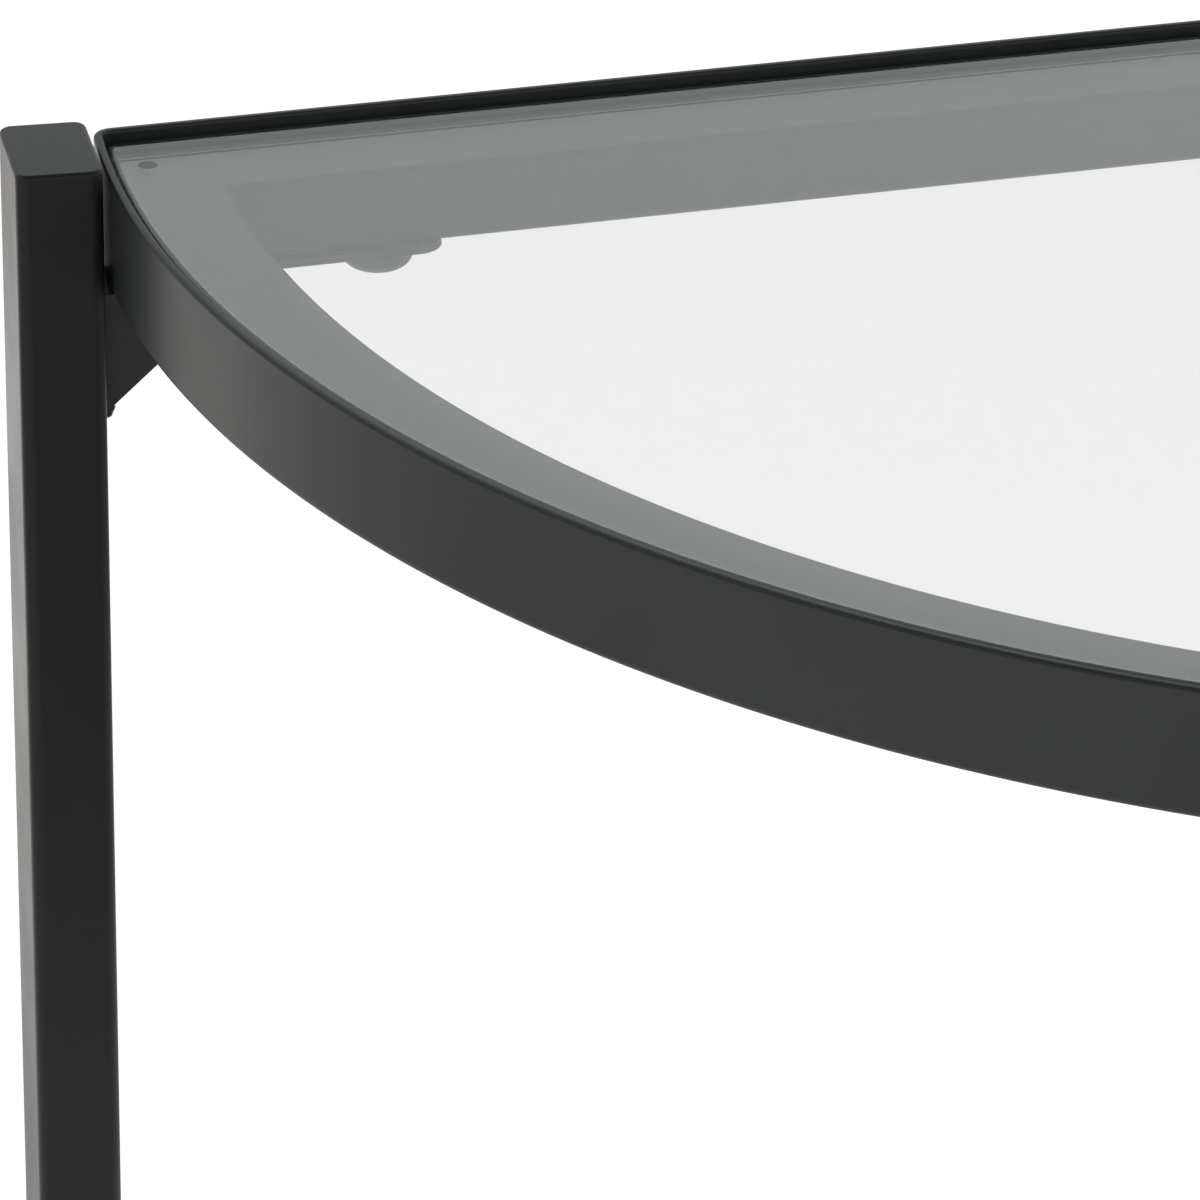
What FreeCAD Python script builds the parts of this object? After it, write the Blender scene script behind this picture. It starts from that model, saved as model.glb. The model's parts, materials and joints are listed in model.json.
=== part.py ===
import FreeCAD, Part
import math
import os
from FreeCAD import Vector

# A demilune console table: a ring of rebated steel tube, closed by a straight rail at its back,
# holds a clear glass top and stands on four legs of flat tube
# Millimetres, +Z up, +Y towards the wall, origin on the floor under the middle of the top

# Whole table
TABLE_HEIGHT = 762.0         # floor to the tops of the legs
RING_RADIUS = 345.5          # arc centre to the outer face of the ring
RAIL_BACK = 47.3             # arc centre to the outer face of the back rail

# Frame tube, with a thin rim that stands above an inner ledge
TUBE_WIDTH = 28.6
TUBE_HEIGHT = 28.6           # underside to the top of the rim
TUBE_WALL = 1.1
TUBE_CORNER = 2.0            # outer rounding of the lower edges and of the ledge
RIM_ROUNDING = 0.8
FRAME_CORNER = 4.8           # ground outer corner where ring and rail meet

# Glass top and its clear bumpers
GLASS_THICKNESS = 6.0
GLASS_BELOW_RIM = 2.3
GLASS_BACK_GAP = 1.2         # between the glass and the back rail's rim
GLASS_SIDE_GAP = 0.6         # between the glass and the rim at the ring's two ends
GLASS_FRONT_ROOM = 3.6       # more than the side gap, where the ring is farthest from the rail
GLASS_EDGE_ROUNDING = 2.4    # pencil edge, top and bottom
GLASS_CORNER = 3.0
BUMPER_HEIGHT = 1.2
BUMPER_BASE = 5.2            # diameter stuck to the ledge
BUMPER_FACE = 4.5            # diameter under the glass
BUMPER_INSET = 14.5          # bumper centre from the tube's outer face
CORNER_BUMPER = 12.9         # corner bumper inside the ring's widest line
FRONT_BUMPER_ANGLES = (60.0, 90.0, 120.0)   # degrees round the ring from its left end

# Legs, flat tube with a welded top cap
LEG_DEPTH = 20.0             # across, from the outer face towards the ring
LEG_BREADTH = 31.3           # along the ring
LEG_WALL = 1.5
LEG_CORNER = 3.0
LEG_GAP = 1.7                # between a leg and the ring
LEG_PROUD = 4.0              # leg top above the rim
BACK_LEG_ANGLE = 4.6         # degrees behind the ring's widest line
FRONT_LEG_ANGLE = 64.0       # degrees in front of the ring's widest line
CAP_THICKNESS = 1.5
CAP_ROUNDING = 0.9

# Brackets under the frame, welded to the legs
PLATE_THICKNESS = 2.0
PLATE_WIDTH = 16.6
PLATE_CORNER = 6.8
BACK_PLATE_LENGTH = 82.0
FRONT_PLATE_SPAN = 66.0      # along the ring
PLATE_INSET = 2.0            # front plate's edges inside the tube's faces
GUSSET_THICKNESS = 3.0
GUSSET_HEIGHT = 30.8
GUSSET_NOSE = 1.9            # blunt ends of the triangle
BACK_GUSSET_LENGTH = 34.7
FRONT_GUSSET_LENGTH = 24.0

# Bracket bolts and the rivet nuts in the tube
BOLT_DIAMETER = 6.0
BOLT_LENGTH = 14.0
BOLT_LINE = 6.7              # bolts behind the back rail's inner face
BACK_BOLT_FROM_END = 14.9    # from the free end of a back plate
FRONT_BOLT_SPACING = 44.0
HEAD_DIAMETER = 17.0
HEAD_HEIGHT = 4.9
HEAD_ROUNDING = 3.7
SOCKET_WIDTH = 4.0           # hexagon, across flats
SOCKET_DEPTH = 2.5
HOLE_CLEARANCE = 0.3         # radial, round a bolt in its plate
NUT_DIAMETER = 9.0
NUT_LENGTH = 11.0
NUT_COLLAR = 10.4            # diameter of the upset collar inside the tube
NUT_COLLAR_HEIGHT = 2.5
NUT_CLEARANCE = 0.1          # radial, round a nut in its wall and a bolt in its nut

# Feet
INSERT_FLANGE = 2.0
INSERT_DEPTH = 24.0
INSERT_CLEARANCE = 0.15      # all round, inside the leg
FOOT_DIAMETER = 19.0
FOOT_HEIGHT = 6.0
FOOT_ROUNDING = 1.5
STEM_DIAMETER = 8.0
STEM_LENGTH = 25.0
STEM_CLEARANCE = 0.3         # radial

# Levels and places that follow from the sizes above
RIM_TOP = TABLE_HEIGHT - LEG_PROUD
TUBE_BOTTOM = RIM_TOP - TUBE_HEIGHT
REBATE = GLASS_BELOW_RIM + GLASS_THICKNESS + BUMPER_HEIGHT
LEDGE_HEIGHT = TUBE_HEIGHT - REBATE
RIM_THICKNESS = 2 * TUBE_WALL
GLASS_BOTTOM = RIM_TOP - GLASS_BELOW_RIM - GLASS_THICKNESS
PLATE_BOTTOM = TUBE_BOTTOM - PLATE_THICKNESS
LEG_BOTTOM = FOOT_HEIGHT + INSERT_FLANGE
LEG_TOP = TABLE_HEIGHT - CAP_THICKNESS
LEG_INNER_FACE = RING_RADIUS + LEG_GAP
LEG_LINE = LEG_INNER_FACE + LEG_DEPTH / 2
BOLT_CIRCLE = RING_RADIUS - TUBE_WIDTH / 2
RAIL_INNER = RAIL_BACK - TUBE_WIDTH
BACK_BOLT_LINE = RAIL_INNER + BOLT_LINE
ARC_CENTRE = Vector(0, (RING_RADIUS - RAIL_BACK) / 2, 0)
UP = Vector(0, 0, 1)


def rounded_wire(corners, to_space):
    """Closed wire through (u, v, radius) corners, each rounded by its own radius."""
    starts, mids, ends = [], [], []
    for i, (u, v, radius) in enumerate(corners):
        corner = Vector(u, v, 0)
        to_last = (Vector(*corners[i - 1][:2], 0) - corner).normalize()
        to_next = (Vector(*corners[(i + 1) % len(corners)][:2], 0) - corner).normalize()
        half_angle = to_last.getAngle(to_next) / 2
        reach = radius / math.tan(half_angle)
        inward = (to_last + to_next).normalize()
        starts.append(corner + to_last * reach)
        mids.append(corner + inward * (radius / math.sin(half_angle) - radius))
        ends.append(corner + to_next * reach)
    edges = []
    for i, (u, v, radius) in enumerate(corners):
        edges.append(Part.makeLine(to_space(ends[i - 1]), to_space(starts[i])))
        if radius > 0:
            edges.append(Part.Arc(to_space(starts[i]), to_space(mids[i]), to_space(ends[i])).toShape())
    return Part.Wire(edges)


def rounded_box(x0, x1, y0, y1, z0, z1, radius):
    """Upright block with its four vertical edges rounded."""
    corners = [(x0, y0, radius), (x1, y0, radius), (x1, y1, radius), (x0, y1, radius)]
    wire = rounded_wire(corners, lambda p: Vector(p.x, p.y, z0))
    return Part.Face(wire).extrude(UP * (z1 - z0))


def upright(diameter, z0, z1, x=0.0, y=0.0):
    """Upright cylinder between two levels."""
    return Part.makeCylinder(diameter / 2, z1 - z0, Vector(x, y, z0), UP)


def tube_section(to_space):
    """Face of the rebated tube: u runs inward from the outer face, v up from the underside."""
    rim_rounding = min(RIM_ROUNDING, 0.45 * RIM_THICKNESS)
    bore_rounding = max(TUBE_CORNER - TUBE_WALL, 0)
    outside = [
        (0, 0, TUBE_CORNER),
        (TUBE_WIDTH, 0, TUBE_CORNER),
        (TUBE_WIDTH, LEDGE_HEIGHT, TUBE_CORNER),
        (RIM_THICKNESS, LEDGE_HEIGHT, 0),
        (RIM_THICKNESS, TUBE_HEIGHT, rim_rounding),
        (0, TUBE_HEIGHT, rim_rounding),
    ]
    near, far = TUBE_WALL, TUBE_WIDTH - TUBE_WALL
    low, high = TUBE_WALL, LEDGE_HEIGHT - TUBE_WALL
    inside = [(u, v, bore_rounding) for u, v in ((near, low), (far, low), (far, high), (near, high))]
    return Part.Face(rounded_wire(outside, to_space)).cut(Part.Face(rounded_wire(inside, to_space)))


def corner_places(radius, back, rounding):
    """Rounding of a D outline's left back corner: its centre, and its ends on the back line and on the arc."""
    across = math.sqrt((radius - rounding) ** 2 - (back - rounding) ** 2)
    centre = Vector(-across, back - rounding, 0)
    on_back = Vector(-across, back, 0)
    on_arc = centre * (radius / (radius - rounding))
    return centre, on_back, on_arc


def mirrored(shape):
    """Copy on the other side of the table's middle."""
    return shape.mirror(Vector(0, 0, 0), Vector(1, 0, 0))


def rail_zone():
    """Block with mitred ends that parts the back rail from the ring."""
    outer = math.sqrt(RING_RADIUS ** 2 - RAIL_BACK ** 2)
    inner = math.sqrt((RING_RADIUS - TUBE_WIDTH) ** 2 - RAIL_INNER ** 2)
    margin = TUBE_WIDTH
    lean = outer - inner
    plan = [
        (-outer - lean, RAIL_BACK + margin),
        (outer + lean, RAIL_BACK + margin),
        (inner - lean, RAIL_INNER - margin),
        (-inner + lean, RAIL_INNER - margin),
    ]
    points = [Vector(x, y, TUBE_BOTTOM - margin) for x, y in plan]
    return Part.Face(Part.makePolygon(points + points[:1])).extrude(UP * (TUBE_HEIGHT + 2 * margin))


def corner_waste():
    """What is ground off the frame's left back corner."""
    margin = 1.0
    low = TUBE_BOTTOM - margin
    height = TUBE_HEIGHT + 2 * margin
    centre, on_back, on_arc = corner_places(RING_RADIUS, RAIL_BACK, FRAME_CORNER)
    to_back = (on_back - centre) * 2
    to_arc = (on_arc - centre) * 2
    points = [p + UP * low for p in (centre, centre + to_back, centre + to_back + to_arc, centre + to_arc)]
    wedge = Part.Face(Part.makePolygon(points + points[:1])).extrude(UP * height)
    return wedge.cut(upright(2 * FRAME_CORNER, low, low + height, centre.x, centre.y))


def frame_pieces():
    """Ring of somewhat more than half a circle, and the back rail mitred to it, about the arc centre."""
    overrun = math.degrees(math.asin(RAIL_BACK / (RING_RADIUS - TUBE_WIDTH))) + 2
    section = tube_section(lambda p: Vector(p.x - RING_RADIUS, 0, TUBE_BOTTOM + p.y))
    section.rotate(Vector(0, 0, 0), UP, -overrun)
    arc = section.revolve(Vector(0, 0, 0), UP, 180 + 2 * overrun)
    back = tube_section(lambda p: Vector(-RING_RADIUS, RAIL_BACK - p.x, TUBE_BOTTOM + p.y))
    rail = back.extrude(Vector(2 * RING_RADIUS, 0, 0))
    zone = rail_zone()
    ground = [corner_waste(), mirrored(corner_waste())]
    return arc.cut(zone).cut(ground), rail.common(zone).cut(ground)


def pane(radius, back, corner, z0, z1):
    """Upright D shaped slab about the arc centre."""
    centre, on_back, on_arc = corner_places(radius, back, corner)
    turn = centre + (on_back + on_arc - centre * 2).normalize() * corner
    left = [p + UP * z0 for p in (on_arc, turn, on_back)]
    right = [Vector(-p.x, p.y, p.z) for p in left]
    outline = Part.Wire([
        Part.Arc(*left).toShape(),
        Part.makeLine(left[2], right[2]),
        Part.Arc(right[2], right[1], right[0]).toShape(),
        Part.Arc(right[0], Vector(0, -radius, z0), left[0]).toShape(),
    ])
    return Part.Face(outline).extrude(UP * (z1 - z0))


def glass_top():
    """Clear pane with rounded edges, which lies back in the ring and leaves room in front."""
    radius = RING_RADIUS - RIM_THICKNESS - GLASS_SIDE_GAP
    back = RAIL_BACK - RIM_THICKNESS - GLASS_BACK_GAP - GLASS_FRONT_ROOM
    slab = pane(radius, back, GLASS_CORNER, GLASS_BOTTOM, GLASS_BOTTOM + GLASS_THICKNESS)
    slab.translate(Vector(0, GLASS_FRONT_ROOM, 0))
    rims = [e for e in slab.Edges if abs(e.BoundBox.ZMax - e.BoundBox.ZMin) < GLASS_THICKNESS / 2]
    return slab.makeFillet(min(GLASS_EDGE_ROUNDING, 0.4 * GLASS_THICKNESS), rims)


def bumper(x, y):
    """Clear pad, wide on the ledge and narrower under the glass."""
    ledge = TUBE_BOTTOM + LEDGE_HEIGHT
    return Part.makeCone(BUMPER_BASE / 2, BUMPER_FACE / 2, BUMPER_HEIGHT, Vector(x, y, ledge), UP)


def glass_bumpers():
    """One pad at each back corner, one behind, and the rest round the front of the ring."""
    reach = RING_RADIUS - BUMPER_INSET
    back = RAIL_BACK - BUMPER_INSET
    corner = RING_RADIUS - CORNER_BUMPER
    pads = [bumper(-corner, back), bumper(0, back), bumper(corner, back)]
    for angle in FRONT_BUMPER_ANGLES:
        turn = math.radians(180 + angle)
        pads.append(bumper(reach * math.cos(turn), reach * math.sin(turn)))
    return Part.makeCompound(pads)


def leg_block(z0, z1, inset, corner):
    """Upright block with the leg's outline, drawn in by an inset; +X points away from the arc centre."""
    half_depth = LEG_DEPTH / 2 - inset
    half_breadth = LEG_BREADTH / 2 - inset
    x0, x1 = LEG_LINE - half_depth, LEG_LINE + half_depth
    return rounded_box(x0, x1, -half_breadth, half_breadth, z0, z1, corner)


def inner_corner(inset):
    """Rounding of a leg outline that is drawn in by an inset."""
    return max(LEG_CORNER - inset, 0.2)


def leg_tube():
    bore = leg_block(LEG_BOTTOM, LEG_TOP, LEG_WALL, inner_corner(LEG_WALL))
    return leg_block(LEG_BOTTOM, LEG_TOP, 0, LEG_CORNER).cut(bore)


def leg_cap():
    """Top plate, welded on and ground, with softened top edges."""
    cap = leg_block(LEG_TOP, TABLE_HEIGHT, 0, LEG_CORNER)
    rounding = min(CAP_ROUNDING, 0.6 * CAP_THICKNESS)
    top_edges = [e for e in cap.Edges if e.BoundBox.ZMin > TABLE_HEIGHT - rounding / 2]
    return cap.makeFillet(rounding, top_edges)


def back_bolt_places():
    return [(LEG_INNER_FACE - BACK_PLATE_LENGTH + BACK_BOLT_FROM_END, 0)]


def front_bolt_places():
    half = FRONT_BOLT_SPACING / 2
    across = math.sqrt(BOLT_CIRCLE ** 2 - half ** 2)
    return [(across, -half), (across, half)]


def drilled(plate, places):
    """Plate with a clearance hole at each bolt."""
    hole = BOLT_DIAMETER + 2 * HOLE_CLEARANCE
    return plate.cut([upright(hole, PLATE_BOTTOM, TUBE_BOTTOM, x, y) for x, y in places])


def back_plate():
    """Strip that reaches from the leg along the underside of the back rail."""
    half = PLATE_WIDTH / 2
    free_end = LEG_INNER_FACE - BACK_PLATE_LENGTH
    corners = [
        (free_end, -half, PLATE_CORNER),
        (LEG_INNER_FACE, -half, 0),
        (LEG_INNER_FACE, half, 0),
        (free_end, half, PLATE_CORNER),
    ]
    wire = rounded_wire(corners, lambda p: Vector(p.x, p.y, PLATE_BOTTOM))
    return drilled(Part.Face(wire).extrude(UP * PLATE_THICKNESS), back_bolt_places())


def front_plate():
    """Curved strip under the ring with a tab to the leg."""
    outer = upright(2 * (RING_RADIUS - PLATE_INSET), PLATE_BOTTOM, TUBE_BOTTOM)
    inner = upright(2 * (RING_RADIUS - TUBE_WIDTH + PLATE_INSET), PLATE_BOTTOM, TUBE_BOTTOM)
    half_span = FRONT_PLATE_SPAN / 2
    window = Part.makeBox(
        2 * TUBE_WIDTH, 2 * half_span, PLATE_THICKNESS,
        Vector(RING_RADIUS - 1.5 * TUBE_WIDTH, -half_span, PLATE_BOTTOM),
    )
    strip = outer.cut(inner).common(window)
    tab = Part.makeBox(
        LEG_INNER_FACE - BOLT_CIRCLE, PLATE_WIDTH, PLATE_THICKNESS,
        Vector(BOLT_CIRCLE, -PLATE_WIDTH / 2, PLATE_BOTTOM),
    )
    return drilled(strip.fuse(tab).removeSplitter(), front_bolt_places())


def gusset(length):
    """Upright triangle between the leg and the underside of its plate."""
    top = PLATE_BOTTOM
    foot = PLATE_BOTTOM - GUSSET_HEIGHT
    plan = [
        (LEG_INNER_FACE, top),
        (LEG_INNER_FACE, foot),
        (LEG_INNER_FACE - GUSSET_NOSE, foot),
        (LEG_INNER_FACE - length, top - GUSSET_NOSE),
        (LEG_INNER_FACE - length, top),
    ]
    points = [Vector(x, -GUSSET_THICKNESS / 2, z) for x, z in plan]
    return Part.Face(Part.makePolygon(points + points[:1])).extrude(Vector(0, GUSSET_THICKNESS, 0))


def bolt(x, y):
    """Round headed bolt, upward from the underside of a plate, with a hexagon socket in its head."""
    head_bottom = PLATE_BOTTOM - HEAD_HEIGHT
    head = upright(HEAD_DIAMETER, head_bottom, PLATE_BOTTOM)
    rounding = min(HEAD_ROUNDING, 0.8 * HEAD_HEIGHT, 0.45 * HEAD_DIAMETER)
    head = head.makeFillet(rounding, [e for e in head.Edges if e.BoundBox.ZMax < head_bottom + rounding / 2])
    corner = SOCKET_WIDTH / math.sqrt(3)
    steps = [math.radians(60 * i) for i in range(7)]
    points = [Vector(corner * math.cos(a), corner * math.sin(a), head_bottom) for a in steps]
    socket = Part.Face(Part.makePolygon(points)).extrude(UP * SOCKET_DEPTH)
    shank = upright(BOLT_DIAMETER, PLATE_BOTTOM, PLATE_BOTTOM + BOLT_LENGTH)
    whole = head.cut(socket).fuse(shank).removeSplitter()
    whole.translate(Vector(x, y, 0))
    return whole


def rivet_nut(x, y):
    """Sleeve through the tube's lower wall, held by its upset collar inside."""
    seat = TUBE_BOTTOM + TUBE_WALL
    sleeve = upright(NUT_DIAMETER, TUBE_BOTTOM, TUBE_BOTTOM + NUT_LENGTH, x, y)
    collar = upright(NUT_COLLAR, seat, seat + NUT_COLLAR_HEIGHT, x, y)
    thread = BOLT_DIAMETER + 2 * NUT_CLEARANCE
    bore = upright(thread, TUBE_BOTTOM, TUBE_BOTTOM + NUT_LENGTH, x, y)
    return sleeve.fuse(collar).removeSplitter().cut(bore)


def nut_hole(x, y):
    return upright(NUT_DIAMETER + 2 * NUT_CLEARANCE, TUBE_BOTTOM - 1, TUBE_BOTTOM + TUBE_WALL + 1, x, y)


def foot_insert():
    """Plastic plug in the leg's lower end, with a flange under the tube."""
    inset = LEG_WALL + INSERT_CLEARANCE
    flange = leg_block(FOOT_HEIGHT, LEG_BOTTOM, 0, LEG_CORNER)
    plug = leg_block(LEG_BOTTOM, LEG_BOTTOM + INSERT_DEPTH, inset, inner_corner(inset))
    bore = upright(STEM_DIAMETER + 2 * STEM_CLEARANCE, FOOT_HEIGHT, LEG_BOTTOM + INSERT_DEPTH, LEG_LINE)
    return flange.fuse(plug).removeSplitter().cut(bore)


def levelling_foot():
    """Round pad on a screwed stem, shown fully screwed in."""
    pad = upright(FOOT_DIAMETER, 0, FOOT_HEIGHT, LEG_LINE)
    rounding = min(FOOT_ROUNDING, 0.45 * FOOT_HEIGHT)
    pad = pad.makeFillet(rounding, [e for e in pad.Edges if e.BoundBox.ZMax < rounding / 2])
    stem = upright(STEM_DIAMETER, FOOT_HEIGHT, FOOT_HEIGHT + STEM_LENGTH, LEG_LINE)
    return pad.fuse(stem).removeSplitter()


def at_leg(shape, angle, shift=0.0):
    """Copy of a shape moved along the ring by a shift and turned to its place round the arc centre."""
    moved = shape.copy()
    moved.translate(Vector(0, shift, 0))
    moved.rotate(Vector(0, 0, 0), UP, angle)
    return moved


def build():
    """All pieces by node name, about the arc centre; each leg has its own angle and its bracket's."""
    ring, rail = frame_pieces()
    left_front = 180 + FRONT_LEG_ANGLE
    right_front = 360 - FRONT_LEG_ANGLE
    legs = [
        ("left_back", 180 - BACK_LEG_ANGLE, 180, -BACK_BOLT_LINE),
        ("left_front", left_front, left_front, 0),
        ("right_front", right_front, right_front, 0),
        ("right_back", BACK_LEG_ANGLE, 0, BACK_BOLT_LINE),
    ]
    pieces = {"glass_top": glass_top(), "glass_bumpers": glass_bumpers()}
    bolts, nuts, holes = [], [], []
    for name, angle, bracket_angle, shift in legs:
        at_back = shift != 0
        plate = back_plate() if at_back else front_plate()
        places = back_bolt_places() if at_back else front_bolt_places()
        gusset_length = BACK_GUSSET_LENGTH if at_back else FRONT_GUSSET_LENGTH
        leg_solid = at_leg(leg_block(LEG_BOTTOM, LEG_TOP, 0, LEG_CORNER), angle)
        pieces[name + "_leg"] = at_leg(leg_tube(), angle)
        pieces[name + "_cap"] = at_leg(leg_cap(), angle)
        pieces[name + "_insert"] = at_leg(foot_insert(), angle)
        pieces[name + "_foot"] = at_leg(levelling_foot(), angle)
        pieces[name + "_bracket"] = at_leg(plate, bracket_angle, shift).cut(leg_solid)
        pieces[name + "_gusset"] = at_leg(gusset(gusset_length), bracket_angle, shift).cut(leg_solid)
        for place in places:
            bolts.append(at_leg(bolt(*place), bracket_angle, shift))
            nuts.append(at_leg(rivet_nut(*place), bracket_angle, shift))
            holes.append(at_leg(nut_hole(*place), bracket_angle, shift))
    pieces["half_ring"] = ring.cut(holes)
    pieces["back_rail"] = rail.cut(holes)
    pieces["bracket_bolts"] = Part.makeCompound(bolts)
    pieces["rivet_nuts"] = Part.makeCompound(nuts)
    return pieces


def main():
    os.makedirs("parts", exist_ok=True)
    for name, shape in build().items():
        shape.translate(ARC_CENTRE)
        solids = len(shape.Solids)
        print(f"{name}: {solids} solid(s), {shape.Volume / 1000:.2f} cm3, valid {shape.isValid()}")
        shape.exportStep(f"parts/{name}.step")


main()
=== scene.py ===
# %% [markdown]
# A demilune console table in Blender: a ring of powder coated steel tube that is closed by a
# straight rail, a clear glass top that lies in its rebate, and four flat tube legs. The packed
# solids are loaded as a fixed frame in metres. Brackets, gussets, bolts, rivet nuts and inserts
# keep their meshes and only get a finish. The rest is modelled again, with finer arcs and edges.

# %% Load the frame
import json
import math

import bmesh
import bpy
from mathutils import Matrix, Vector

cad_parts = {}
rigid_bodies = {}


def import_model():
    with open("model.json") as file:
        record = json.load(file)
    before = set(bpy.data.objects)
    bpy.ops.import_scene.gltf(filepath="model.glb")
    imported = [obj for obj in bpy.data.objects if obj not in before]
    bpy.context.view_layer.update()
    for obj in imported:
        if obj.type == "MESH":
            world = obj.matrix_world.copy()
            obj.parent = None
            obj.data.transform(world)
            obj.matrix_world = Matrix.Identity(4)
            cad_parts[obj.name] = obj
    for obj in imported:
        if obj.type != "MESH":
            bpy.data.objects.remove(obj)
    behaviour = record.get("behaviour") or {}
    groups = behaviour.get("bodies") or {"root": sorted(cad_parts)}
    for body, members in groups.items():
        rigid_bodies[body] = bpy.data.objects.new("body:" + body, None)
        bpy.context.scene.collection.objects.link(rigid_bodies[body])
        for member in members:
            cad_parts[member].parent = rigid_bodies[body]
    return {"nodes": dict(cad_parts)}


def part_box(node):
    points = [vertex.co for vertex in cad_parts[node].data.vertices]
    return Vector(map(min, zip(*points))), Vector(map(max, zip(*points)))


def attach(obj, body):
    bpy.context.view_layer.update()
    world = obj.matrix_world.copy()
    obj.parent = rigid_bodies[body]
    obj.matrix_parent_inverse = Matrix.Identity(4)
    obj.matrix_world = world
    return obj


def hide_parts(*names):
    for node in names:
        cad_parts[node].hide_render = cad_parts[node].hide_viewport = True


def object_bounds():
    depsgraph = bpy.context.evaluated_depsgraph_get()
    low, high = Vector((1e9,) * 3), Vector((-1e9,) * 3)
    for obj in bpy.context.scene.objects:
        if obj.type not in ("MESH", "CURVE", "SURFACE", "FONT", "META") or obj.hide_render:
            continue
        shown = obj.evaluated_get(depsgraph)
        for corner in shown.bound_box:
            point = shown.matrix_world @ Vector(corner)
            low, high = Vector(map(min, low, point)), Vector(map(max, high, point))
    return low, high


for start_object in list(bpy.data.objects):
    bpy.data.objects.remove(start_object)
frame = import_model()
nodes = frame["nodes"]
cad_low, cad_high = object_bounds()
print("frame:", len(nodes), "nodes,", [round(v, 4) for v in cad_high - cad_low], "m")

# %% [markdown]
# The photograph is a close view of the left back corner, taken with a long lens from above and in
# front. A camera can be aimed with a constraint, but three angles say it plainly: how far it turns
# from the wall's direction, how far it looks down, and a small roll.

# %% Camera
CAMERA_PLACE = Vector((-0.655704, -1.210553, 1.356568))
CAMERA_TURN = math.radians(17.2995)
CAMERA_DOWN = math.radians(26.5441)
CAMERA_ROLL = math.radians(1.0572)
CAMERA_LENS = 202.098
CORNER_SEEN = Vector((-0.36, 0.15, 0.75))


def camera_matrix():
    """Camera to world matrix from the three angles."""
    forward = Vector((
        math.sin(CAMERA_TURN) * math.cos(CAMERA_DOWN),
        math.cos(CAMERA_TURN) * math.cos(CAMERA_DOWN),
        -math.sin(CAMERA_DOWN),
    ))
    right = Vector((math.cos(CAMERA_TURN), -math.sin(CAMERA_TURN), 0))
    up = right.cross(forward)
    rolled_right = right * math.cos(CAMERA_ROLL) + up * math.sin(CAMERA_ROLL)
    rolled_up = up * math.cos(CAMERA_ROLL) - right * math.sin(CAMERA_ROLL)
    turned = Matrix((rolled_right, rolled_up, -forward)).transposed().to_4x4()
    return Matrix.Translation(CAMERA_PLACE) @ turned


camera_data = bpy.data.cameras.new("photo_camera")
camera_data.sensor_width = 36
camera_data.lens = CAMERA_LENS
camera_data.clip_end = 60
camera = bpy.data.objects.new("photo_camera", camera_data)
camera.matrix_world = camera_matrix()
bpy.context.scene.collection.objects.link(camera)
bpy.context.scene.camera = camera
print("camera:", CAMERA_LENS, "mm lens,", round((CAMERA_PLACE - CORNER_SEEN).length, 2), "m from the corner")

# %% [markdown]
# A shader tree is a list of nodes and links. Small helpers keep the materials below short: one adds
# a node and fills its inputs, one joins an output to an input, one maps a range of values to
# another, and one starts a material with its even values.

# %% Node helpers
def add_node(tree, kind, inputs=None, **settings):
    """New node with its settings, and its input sockets filled by name or number."""
    node = tree.nodes.new("ShaderNode" + kind)
    for name, value in settings.items():
        setattr(node, name, value)
    for name, value in (inputs or {}).items():
        node.inputs[name].default_value = value
    return node


def join(tree, from_node, output, to_node, entry):
    tree.links.new(from_node.outputs[output], to_node.inputs[entry])


def map_range(tree, low, high, start, end, curve="SMOOTHSTEP"):
    """Node that takes values from low to high to values from start to end."""
    inputs = {"From Min": low, "From Max": high, "To Min": start, "To Max": end}
    return add_node(tree, "MapRange", inputs, interpolation_type=curve)


def new_material(name, **sockets):
    """Material with a Principled BSDF; its even values are set on its own sockets."""
    material = bpy.data.materials.new(name)
    material.use_nodes = True
    shader = material.node_tree.nodes["Principled BSDF"]
    for socket, value in sockets.items():
        shader.inputs[socket.replace("_", " ").title().replace("Ior", "IOR")].default_value = value
    return material, material.node_tree, shader


print("node helpers ready")

# %% [markdown]
# The studio is a white room with a dark ceiling over the camera, as in a product shot: white light
# from the back, the sides and low in front draws pale reflections on the satin paint, and edges
# that mirror the ceiling stay dark. The walls get lighter with height, which evens out the sheen of
# the glass from back to front. A room could be built from cards and lamps, but a world that changes
# with the direction gives the same light with no noise.

# %% Studio light
DARK_CEILING = Vector((0.10, -0.30, 0.95)).normalized()
CEILING_REACH = (0.50, 0.95)
CEILING_LIGHT = 0.10
SKY_COLOUR = (0.945, 1.0, 0.99, 1)
WALL_HEIGHTS = (0.37, 0.53)
LOW_WALL_LIGHT = 1.03
HIGH_WALL_LIGHT = 1.30


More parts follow.
